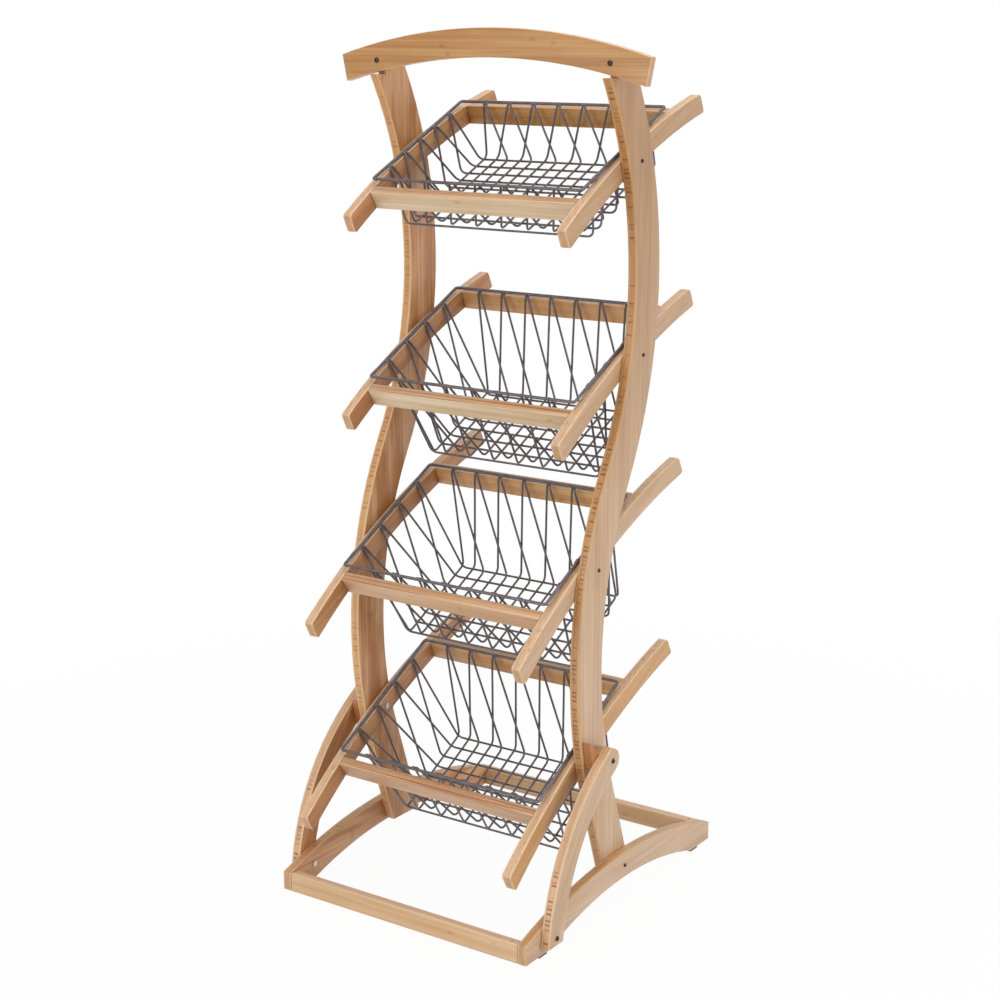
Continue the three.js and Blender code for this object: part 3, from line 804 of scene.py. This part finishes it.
class GeometryTree(NodeWriter):
    """A writer for one Geometry Nodes tree that ends in realised, painted geometry."""

    def __init__(self, name: str, inputs: dict[str, str]) -> None:
        """Start a tree.

        Args:
            name: Name of the tree.
            inputs: Kinds of its inputs' sockets, by label, besides the geometry and the material.
        """
        super().__init__(bpy.data.node_groups.new(name, "GeometryNodeTree"))
        self.sockets: dict[str, str] = {}
        kinds = {"Geometry": "Geometry", **inputs, "Material": "Material"}
        for label, kind in kinds.items():
            made = self.tree.interface.new_socket(label, in_out="INPUT", socket_type="NodeSocket" + kind)
            self.sockets[label] = made.identifier
        self.tree.interface.new_socket("Geometry", in_out="OUTPUT", socket_type="NodeSocketGeometry")
        self.start = self.node("NodeGroupInput")

    def feed(self, target: Socket, value: object) -> None:
        """Put a link, one of the tree's own inputs by its label, or a plain value on an input."""
        labelled = isinstance(value, str) and value in self.sockets
        super().feed(target, self.start.outputs[value] if labelled else value)

    def close(self, geometry: Socket) -> None:
        """Realise and paint the geometry and send it out of the tree.

        Args:
            geometry: The last geometry socket.
        """
        real = self.node("GeometryNodeRealizeInstances", {"Geometry": geometry})
        painted = self.node("GeometryNodeSetMaterial", {"Geometry": real.outputs[0], "Material": "Material"})
        self.node("NodeGroupOutput", {0: painted.outputs[0]})

    def run(self, seed: Mesh, name: str, values: dict[str, object]) -> Mesh:
        """Run the tree on a mesh and return the result as a plain mesh.

        Args:
            seed: The mesh that the tree starts from.
            name: Name of the result.
            values: The tree's inputs by label.

        Returns:
            The plain mesh.
        """
        carrier = add_object(name + "_seed", seed)
        modifier = carrier.modifiers.new("tree", "NODES")
        modifier.node_group = self.tree
        for label, value in values.items():
            modifier[self.sockets[label]] = value
        bpy.context.view_layer.update()
        depsgraph = bpy.context.evaluated_depsgraph_get()
        result = bpy.data.meshes.new_from_object(carrier.evaluated_get(depsgraph), depsgraph=depsgraph)
        result.name = name
        bpy.data.objects.remove(carrier)
        bpy.data.meshes.remove(seed)
        return result


def wire_tree() -> GeometryTree:
    """Build the tree that turns bent lines into round wire with eased bends.

    Returns:
        The tree.
    """
    sizes = {"Wire Radius": "Float", "Bend Radius": "Float", "Bend Steps": "Int", "Sides": "Int"}
    tree = GeometryTree("bent_wire", sizes)
    line = tree.node("GeometryNodeMeshToCurve", {"Mesh": "Geometry"})
    bends = {"Curve": line.outputs[0], "Count": "Bend Steps", "Radius": "Bend Radius", "Limit Radius": True}
    eased = tree.node("GeometryNodeFilletCurve", bends, mode="POLY")
    ring = tree.node("GeometryNodeCurvePrimitiveCircle", {"Resolution": "Sides", "Radius": "Wire Radius"})
    sweep = {"Curve": eased.outputs[0], "Profile Curve": ring.outputs[0], "Fill Caps": True}
    swept = tree.node("GeometryNodeCurveToMesh", sweep)
    clean = tree.node("GeometryNodeMergeByDistance", {"Geometry": swept.outputs[0], "Distance": WELD})
    smooth = tree.node("GeometryNodeSetShadeSmooth", {"Geometry": clean.outputs[0], "Shade Smooth": True})
    tree.close(smooth.outputs[0])
    return tree


def fastener_tree() -> GeometryTree:
    """Build the tree that sets one fastener on each point, turned along the point's own direction.

    Returns:
        The tree.
    """
    tree = GeometryTree("set_fasteners", {"Fastener": "Object"})
    info = tree.node("GeometryNodeObjectInfo", {"Object": "Fastener", "As Instance": True})
    facing = tree.node("GeometryNodeInputNamedAttribute", {"Name": "facing"}, data_type="FLOAT_VECTOR")
    size = tree.node("GeometryNodeInputNamedAttribute", {"Name": "size"}, data_type="FLOAT_VECTOR")
    aim = {"Vector": facing.outputs["Attribute"]}
    turned = tree.node("FunctionNodeAlignRotationToVector", aim, axis="Z")
    places = {
        "Points": "Geometry",
        "Instance": info.outputs["Geometry"],
        "Rotation": turned.outputs[0],
        "Scale": size.outputs["Attribute"],
    }
    tree.close(tree.node("GeometryNodeInstanceOnPoints", places).outputs[0])
    return tree


def polyline_mesh(name: str, lines: Iterable[Sequence[Vector]], closed: bool = False) -> Mesh:
    """Make a mesh of plain edges from lists of points.

    Args:
        name: Mesh name.
        lines: The lines' points.
        closed: Whether each line joins its end to its start.

    Returns:
        The mesh of edges.
    """
    points: list[Vector] = []
    edges: list[tuple[int, int]] = []
    for line in lines:
        first = len(points)
        points.extend(line)
        last = len(points) - 1
        edges.extend((i, i + 1) for i in range(first, last))
        if closed:
            edges.append((last, first))
    mesh = bpy.data.meshes.new(name)
    mesh.from_pydata(points, edges, [])
    return mesh


@dataclass(frozen=True)
class BasketShape:
    """Sizes that differ between a shallow and a deep basket, in millimetres."""

    depth: float
    inset_x: float
    inset_y: float
    side_points: int
    side_pitch: float


SHALLOW = BasketShape(depth=105.0, inset_x=14.0, inset_y=18.0, side_points=5, side_pitch=52.0)
DEEP = BasketShape(depth=210.0, inset_x=28.0, inset_y=46.0, side_points=4, side_pitch=66.0)


@dataclass
class WireBasket:
    """One loose basket: a round rim and bent wires that cross in the walls and make the floor's grid."""

    plane: TierPlane
    shape: BasketShape
    rim_wire: float = 6.0
    wire: float = 4.2
    clearance: float = 0.4
    rim_half_width: float = 227.0
    rim_half_depth: float = 155.0
    rim_corner: float = 5.0
    hook: float = 7.0
    hook_drop: float = 0.2
    bend: float = 13.0
    grid: float = 28.0
    back_points: int = 7
    back_pitch: float = 56.0
    pair_gap: float = 4.6
    rim_facets: tuple[int, int] = (6, 16)
    wire_facets: tuple[int, int] = (5, 10)
    sharp: float = 50.0

    def build(self, tree: GeometryTree) -> None:
        """Bend the wires and join them into one piece.

        Args:
            tree: The wire tree.
        """
        name = f"basket{self.plane.number}"
        coat = material_of(WIRE_COAT)
        gauges = (
            ("rim", [self._rim()], self.rim_wire, self.rim_corner, self.rim_facets),
            ("walls", self._wires(), self.wire, self.bend, self.wire_facets),
        )
        joined = bmesh.new()
        for part, lines, wire, bend, (steps, sides) in gauges:
            sizes = {"Wire Radius": MM * wire / 2, "Bend Radius": MM * bend}
            facets = {"Bend Steps": steps, "Sides": sides, "Material": coat}
            seed = polyline_mesh(f"{name}_{part}", lines, closed=part == "rim")
            bent = tree.run(seed, f"{name}_{part}_wire", {**sizes, **facets})
            joined.from_mesh(bent)
            bpy.data.meshes.remove(bent)
        mesh = close_mesh(joined, name + "_wires", self.sharp)
        mesh.materials.append(coat)
        settle(add_object(name + "_wires", mesh), name, [name])

    def _rim(self) -> list[Vector]:
        """Return the rim's four corners."""
        signs = ((1, 1), (-1, 1), (-1, -1), (1, -1))
        return [self.plane.at(x * self.rim_half_width, y * self.rim_half_depth, 0.0) for x, y in signs]

    def _wires(self) -> list[list[Vector]]:
        """Lay out the bent wires of both directions.

        Returns:
            The points of each wire.
        """
        lines: list[list[Vector]] = []
        shape = self.shape
        cross_inset = 2 * (self.wire + self.clearance)
        for start, end, sign in self._pairs(self.back_points, self.back_pitch):
            inset = shape.inset_y + (cross_inset if sign > 0 else 0.0)
            bent = self._u_wire(start, end, self.rim_half_depth, inset, shape.depth)
            lines.append([self.plane.at(place, reach, height) for reach, height, place in bent])
        for start, end, sign in self._pairs(shape.side_points, shape.side_pitch):
            inset = shape.inset_x + (cross_inset if sign > 0 else 0.0)
            bent = self._u_wire(start, end, self.rim_half_width, inset, shape.depth + self.wire)
            lines.append([self.plane.at(reach, place, height) for reach, height, place in bent])
        return lines

    def _pairs(self, count: int, pitch: float) -> list[tuple[float, float, int]]:
        """Pair the wires of each rim point: they lean apart, cross their neighbours and meet an even grid.

        Args:
            count: Number of rim points.
            pitch: Distance between them.

        Returns:
            Place on the rim, place on the floor and side of the pair, for each wire.
        """
        last = 2 * count - 1
        pairs = []
        for i in range(count):
            place = pitch * (i - (count - 1) / 2)
            for sign, line in ((-1, max(0, 2 * i - 1)), (1, min(last, 2 * i + 2))):
                pairs.append((place + sign * self.pair_gap / 2, self.grid * (line - last / 2), sign))
        return pairs

    def _u_wire(
        self, start: float, end: float, reach: float, inset: float, floor: float
    ) -> list[tuple[float, float, float]]:
        """Return one U-bent wire from rim to rim, as distance out, height and place along the rim.

        Args:
            start: Place on the rim.
            end: Place on the floor.
            reach: Distance from the middle to the rim.
            inset: How far the wall leans in from rim to floor.
            floor: Depth of the floor.

        Returns:
            Its points.
        """
        top = reach - self.hook
        half = [(reach, 0.0, start), (top, -self.hook_drop * self.wire, start), (top - inset, -floor, end)]
        return [(-r, h, p) for r, h, p in half] + half[::-1]


class RingStack:
    """A turned or six-sided form, built up from rings of points in millimetres."""

    def __init__(self) -> None:
        """Start with no rings."""
        self.work = bmesh.new()
        self.rings: list[list[BMVert]] = []

    def ring(self, radius: float, height: float, flats: bool = False) -> None:
        """Add a round ring, or a six-sided one whose points match a round ring's.

        Args:
            radius: Distance from the axis to the ring, or to the corners of a six-sided one.
            height: Height of the ring.
            flats: Whether the ring is six-sided.
        """
        points = []
        for i in range(RING_SIDES):
            angle = 2 * math.pi * i / RING_SIDES
            within = (angle % (math.pi / 3)) - math.pi / 6
            reach = radius * math.cos(math.pi / 6) / math.cos(within) if flats else radius
            place = (MM * reach * math.cos(angle), MM * reach * math.sin(angle), MM * height)
            points.append(self.work.verts.new(place))
        self.rings.append(points)

    def close(self, name: str, sharp: float = 32.0) -> Mesh:
        """Join the rings in order and close both ends with fans of triangles.

        Args:
            name: Name of the mesh.
            sharp: Angle in degrees from which a corner is sharp.

        Returns:
            The mesh.
        """
        faces = self.work.faces
        for lower, upper in zip(self.rings, self.rings[1:]):
            for i in range(RING_SIDES):
                j = (i + 1) % RING_SIDES
                faces.new((lower[i], lower[j], upper[j], upper[i]))
        caps = [faces.new(self.rings[0][::-1]), faces.new(self.rings[-1])]
        bmesh.ops.poke(self.work, faces=caps)
        bmesh.ops.recalc_face_normals(self.work, faces=self.work.faces)
        return close_mesh(self.work, name, sharp)


@dataclass
class Fastener:
    """One fastener's place: the seat point, where it faces and its size against the pattern."""

    node: str
    seat: Vector
    facing: Vector
    size: float


@dataclass
class FastenerSet:
    """Bolts and nuts, set from a pattern at each CAD fastener."""

    head_radius: float = 5.2
    head_height: float = 2.6
    head_seat: float = 2.8
    socket_radius: float = 2.6
    socket_depth: float = 1.7
    shank_radius: float = 2.5
    shank_stub: float = 1.5
    nut_flats: float = 11.0
    nut_height: float = 2.2

    def build(self, nodes: Iterable[str], tree: GeometryTree) -> None:
        """Set every bolt and nut.

        Args:
            nodes: Names of all CAD nodes.
            tree: The fastener tree.
        """
        names = sorted(nodes)
        bolts = [self._place(n) for n in names if "_bolt_" in n]
        nuts = [self._place(n) for n in names if "_nut_" in n]
        self._set("bolt_heads", self._bolt_pattern(), bolts, tree, material_of(BLACK_OXIDE))
        self._set("nuts", self._nut_pattern(), nuts, tree, material_of(ZINC_PLATE))

    def _place(self, node: str) -> Fastener:
        """Find a fastener's seat, direction and size from its CAD box.

        Args:
            node: The bolt's or the nut's CAD node.

        Returns:
            Its place; a bolt's head looks outwards and a nut inwards.
        """
        low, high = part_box(node)
        seat = (low + high) / 2
        side = 1.0 if seat.x > 0 else -1.0
        outer = high.x if side > 0 else low.x
        head = 2 * MM * self.head_radius
        if "_nut_" in node:
            seat.x = outer
            return Fastener(node, seat, Vector((-side, 0.0, 0.0)), 1.0)
        if node.startswith("header"):
            seat.y = low.y + MM * self.head_seat
            return Fastener(node, seat, FRONT, (high.x - low.x) / head)
        seat.x = outer - side * MM * self.head_seat
        return Fastener(node, seat, Vector((side, 0.0, 0.0)), (high.z - low.z) / head)

    def _bolt_pattern(self) -> Mesh:
        """Turn a button head with a six-sided socket, seated at z = 0.

        Returns:
            The pattern's mesh.
        """
        radius = self.head_radius
        height = self.head_height
        stack = RingStack()
        stack.ring(self.shank_radius, -self.shank_stub)
        stack.ring(self.shank_radius, 0.0)
        stack.ring(radius, 0.0)
        stack.ring(radius, 0.5)
        for share, rise in ((0.95, 0.48), (0.8, 0.78), (0.6, 0.96)):
            stack.ring(radius * share, height * rise)
        stack.ring(self.socket_radius * 1.06, height)
        stack.ring(self.socket_radius, height - 0.1, flats=True)
        stack.ring(self.socket_radius, height - self.socket_depth, flats=True)
        return stack.close("bolt_pattern")

    def _nut_pattern(self) -> Mesh:
        """Cut a thin six-sided nut with eased corners and the bolt's end in it.

        Returns:
            The pattern's mesh.
        """
        radius = self.nut_flats / math.sqrt(3)
        top = self.nut_height
        stack = RingStack()
        for share, height in ((0.93, 0.0), (1.0, 0.35), (1.0, top - 0.4), (0.92, top)):
            stack.ring(radius * share, height, flats=True)
        for wider, sunk in ((0.35, 0.0), (0.0, 0.5), (-0.1, 0.25), (-0.6, 0.05)):
            stack.ring(self.shank_radius + wider, top - sunk)
        return stack.close("nut_pattern")

    def _set(
        self,
        name: str,
        pattern: Mesh,
        places: Sequence[Fastener],
        tree: GeometryTree,
        material: Material,
    ) -> None:
        """Set a pattern at every place and join the copies into one piece.

        Args:
            name: Name of the piece.
            pattern: The pattern's mesh.
            places: Where the copies go.
            tree: The fastener tree.
            material: The copies' material.
        """
        model = add_object(name + "_pattern", pattern)
        seed = bpy.data.meshes.new(name + "_points")
        seed.from_pydata([p.seat for p in places], [], [])
        facing = seed.attributes.new("facing", "FLOAT_VECTOR", "POINT")
        size = seed.attributes.new("size", "FLOAT_VECTOR", "POINT")
        for place, turn, scale in zip(places, facing.data, size.data):
            turn.vector = place.facing
            scale.vector = (place.size, place.size, 1.0)
        mesh = tree.run(seed, name, {"Fastener": model, "Material": material})
        bpy.data.objects.remove(model)
        bpy.data.meshes.remove(pattern)
        settle(add_object(name, mesh), "frame", [p.node for p in places])


@dataclass
class FootPad:
    """A small rubber pad: the CAD solid with eased edges."""

    node: str
    ease: float = 0.0008
    sharp: float = 35.0
    corner_angle: float = 50.0

    def build(self, source: Object) -> None:
        """Copy, ease and dress the pad.

        Args:
            source: The CAD node's object.
        """
        work = eased_copy(source, self._is_corner, self.ease)
        mesh = close_mesh(work, self.node + "_piece", self.sharp)
        mesh.materials.append(material_of(FOOT_RUBBER))
        settle(add_object(self.node + "_piece", mesh), "frame", [self.node])

    def _is_corner(self, edge: BMEdge) -> bool:
        """Say whether an edge is an outside corner of the pad."""
        return edge.is_convex and edge.calc_face_angle(0.0) > math.radians(self.corner_angle)


@dataclass
class RackFrame:
    """The fixed boards: header, uprights, base and braces."""

    nodes: dict[str, Object]
    bolts: Sequence[Line]
    first_seed: float = 0.13
    seed_step: float = 0.067

    def build(self) -> None:
        """Dress every fixed board."""
        rise = Vector((0.0, 0.55, 0.835)).normalized()
        slant = Vector((0.0, -rise.z, rise.y))
        boards = [
            Board("header_board", "frame", RIGHT, UP, HEADER_PANEL, PALE_EDGE, slot="header_board"),
            Board("base_front_rail", "frame", RIGHT, UP, BASE_RAIL_PANEL, PALE_EDGE),
            Board("base_back_rail", "frame", RIGHT, UP, BASE_RAIL_PANEL, PALE_EDGE),
        ]
        # painted light and shade: the left upright's front edge gets the lit barred copy and the right one
        # the darker copy; inner faces and spacers get their painted-shade finishes
        for side, upright_edge in (("left", LIT_BARRED_EDGE), ("right", BARRED_EDGE)):
            boards += [
                Board(f"upright_{side}", "frame", UP, FRONT, SIDE_PANEL, upright_edge, SHADED_INNER_PANEL),
                Board(f"runner_{side}", "frame", BACK, UP, SIDE_PANEL, GOLDEN_EDGE, SHADED_INNER_PANEL),
                Board(f"brace_{side}", "frame", rise, slant, SIDE_PANEL, BRACE_EDGE, SHADED_INNER_PANEL),
                Board(f"brace_spacer_{side}", "frame", UP, FRONT, SHADED_BLOCK_PANEL, SHADED_BLOCK_EDGE),
            ]
        for index, board in enumerate(boards):
            seed = self.first_seed + self.seed_step * index
            board.build(self.nodes[board.node], self.bolts, seed)


@dataclass
class Cradle:
    """One tilting cradle: two arched arms and two cross rails."""

    plane: TierPlane
    nodes: dict[str, Object]
    bolts: Sequence[Line]
    lit_rail_tiers: int = 2
    golden_rails: int = 1
    golden_arms: int = 4
    tier_seed: float = 0.17
    seed_step: float = 0.031

    def build(self) -> None:
        """Dress the cradle's boards."""
        tier = self.plane.number
        name = f"cradle{tier}"
        side = GOLDEN_PANEL if tier >= self.golden_arms else ARM_PANEL
        # painted shade: front rails below the lit tiers get the darker rail copy
        rail_faces = {
            "front": RAIL_PANEL if tier <= self.lit_rail_tiers else SHADED_LOW_RAIL_PANEL,
            "back": HEADER_PANEL if tier <= self.golden_rails else BACK_RAIL_PANEL,
        }
        slope = (self.plane.up_slope, self.plane.out)
        # the arms' edges carry painted light and their inner faces painted shade
        boards = [
            Board(f"{name}_arm_{hand}", name, *slope, side, LIT_ARM_EDGE, SHADED_ARM_INNER_PANEL)
            for hand in ("left", "right")
        ]
        for end, face in rail_faces.items():
            node = f"{name}_{end}_rail"
            boards.append(Board(node, name, RIGHT, self._upright_of(node), face, STREAKED_SHADED_EDGE))
        for index, board in enumerate(boards):
            seed = self.tier_seed * tier + self.seed_step * index
            board.build(self.nodes[board.node], self.bolts, seed)

    def _upright_of(self, node: str) -> Vector:
        """Return the direction of a rail's height, read from its own faces.

        Args:
            node: The rail's CAD node.

        Returns:
            The direction.
        """
        faces = self.nodes[node].data.polygons
        best = max(faces, key=lambda polygon: polygon.normal.dot(self.plane.out)).normal
        return Vector((0.0, best.y, best.z)).normalized()


@dataclass
class Studio:
    """Pale floor, soft light and the camera at the photograph's viewing angle."""

    azimuth: float = 34.46998
    elevation: float = 13.89036
    focal: float = 1924.3807
    place: Vector = field(default_factory=lambda: Vector((1.99381, -2.91281, 1.61737)))
    sensor: float = 36.0
    frame_size: float = 1000.0
    floor_reach: float = 30.0
    floor_grey: float = 0.86
    floor_white: float = 0.955
    shadow_near: float = 0.5
    shadow_far: float = 2.2
    all_round: float = 0.52

    def build(self) -> None:
        """Make the camera, the floor, the world and the lamps."""
        scene = bpy.context.scene
        scene.view_settings.view_transform = "Standard"
        lens = bpy.data.cameras.new("camera")
        lens.sensor_fit = "HORIZONTAL"
        lens.sensor_width = self.sensor
        lens.lens = self.focal / self.frame_size * self.sensor
        lens.clip_end = 100.0
        camera = bpy.data.objects.new("camera", lens)
        camera.location = self.place
        camera.rotation_euler = (math.radians(90 - self.elevation), 0.0, math.radians(self.azimuth))
        scene.collection.objects.link(camera)
        scene.camera = camera
        self._floor()
        self._world()
        self._lamp("top_light", place=(0.5, -0.2, 4.2), target=(0.0, 0.0, 0.6), size=2.0, power=46.0)
        self._lamp("right_light", place=(3.3, 0.1, 1.0), target=(0.0, 0.0, 0.4), size=1.4, power=39.0)
        self._lamp("front_light", place=(-0.6, -3.7, 0.9), target=(0.0, 0.0, 0.4), size=2.0, power=45.0)

    def _floor(self) -> None:
        """Lay the pale floor, seen as white with the rack's soft shadow on it."""
        mesh = bpy.data.meshes.new("floor")
        reach = self.floor_reach
        corners = [(-reach, -reach, 0), (reach, -reach, 0), (reach, reach, 0), (-reach, reach, 0)]
        mesh.from_pydata(corners, [], [(0, 1, 2, 3)])
        floor = add_object("floor", mesh)
        graph = ShaderGraph("pale_floor")
        graph.set("Base Color", (self.floor_grey, self.floor_grey, self.floor_grey))
        graph.set("Roughness", 0.9)
        glow = graph.node("ShaderNodeEmission", {"Color": WHITE, "Strength": 1.0})
        away = graph.node("ShaderNodeVectorMath", {0: graph.place()}, operation="LENGTH")
        white = graph.ramp(away.outputs["Value"], self.shadow_near, self.shadow_far, self.floor_white, 1.0)
        shown = graph.math("MULTIPLY", graph.background_rays(), white)
        surfaces = {0: shown, 1: graph.shader.outputs["BSDF"], 2: glow.outputs[0]}
        graph.link(graph.node("ShaderNodeMixShader", surfaces).outputs[0], graph.output.inputs["Surface"])
        mesh.materials.append(graph.material)

    def _world(self) -> None:
        """Light the scene softly from all round and show white behind it."""
        world = bpy.data.worlds.new("studio")
        world.use_nodes = True
        graph = NodeWriter(world.node_tree)
        soft = graph.node("ShaderNodeBackground", {"Color": WHITE, "Strength": self.all_round})
        white = graph.node("ShaderNodeBackground", {"Color": WHITE, "Strength": 1.0})
        surfaces = {0: graph.background_rays(), 1: soft.outputs[0], 2: white.outputs[0]}
        mixed = graph.node("ShaderNodeMixShader", surfaces)
        graph.node("ShaderNodeOutputWorld", {"Surface": mixed.outputs[0]})
        bpy.context.scene.world = world

    @staticmethod
    def _lamp(name: str, place: Colour, target: Colour, size: float, power: float) -> None:
        """Hang one square soft light.

        Args:
            name: Lamp name.
            place: Where it hangs.
            target: What it points at.
            size: Side of its square, in metres.
            power: Its power in watts.
        """
        lamp = bpy.data.lights.new(name, "AREA")
        lamp.shape = "SQUARE"
        lamp.size = size
        lamp.energy = power
        hung = bpy.data.objects.new(name, lamp)
        aim = Vector(target) - Vector(place)
        hung.matrix_world = Matrix.Translation(place) @ aim.to_track_quat("-Z", "Y").to_matrix().to_4x4()
        bpy.context.scene.collection.objects.link(hung)


def bolt_axes(nodes: Iterable[str]) -> list[Line]:
    """Return a point and a direction for every bolt's centre line.

    Args:
        nodes: Names of all CAD nodes.

    Returns:
        The centre lines.
    """
    lines = []
    for node in sorted(nodes):
        if "_bolt_" in node:
            low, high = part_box(node)
            lines.append(((low + high) / 2, BACK if node.startswith("header") else RIGHT))
    return lines


def main() -> None:
    """Load the frame, dress every piece and set up the studio."""
    logging.basicConfig(level=logging.INFO, format="%(name)s: %(message)s")
    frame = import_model()
    nodes = frame["nodes"]
    Studio().build()
    bolts = bolt_axes(nodes)
    RackFrame(nodes, bolts).build()
    wires = wire_tree()
    planes = [TierPlane.from_record(frame["record"], number) for number in (1, 2, 3, 4)]
    for plane in planes:
        Cradle(plane, nodes, bolts).build()
    for plane in planes:
        WireBasket(plane, SHALLOW if plane.number == 1 else DEEP).build(wires)
    FastenerSet().build(nodes, fastener_tree())
    for node in sorted(nodes):
        if node.startswith("foot_"):
            FootPad(node).build(nodes[node])


if __name__ == "__main__":
    main()
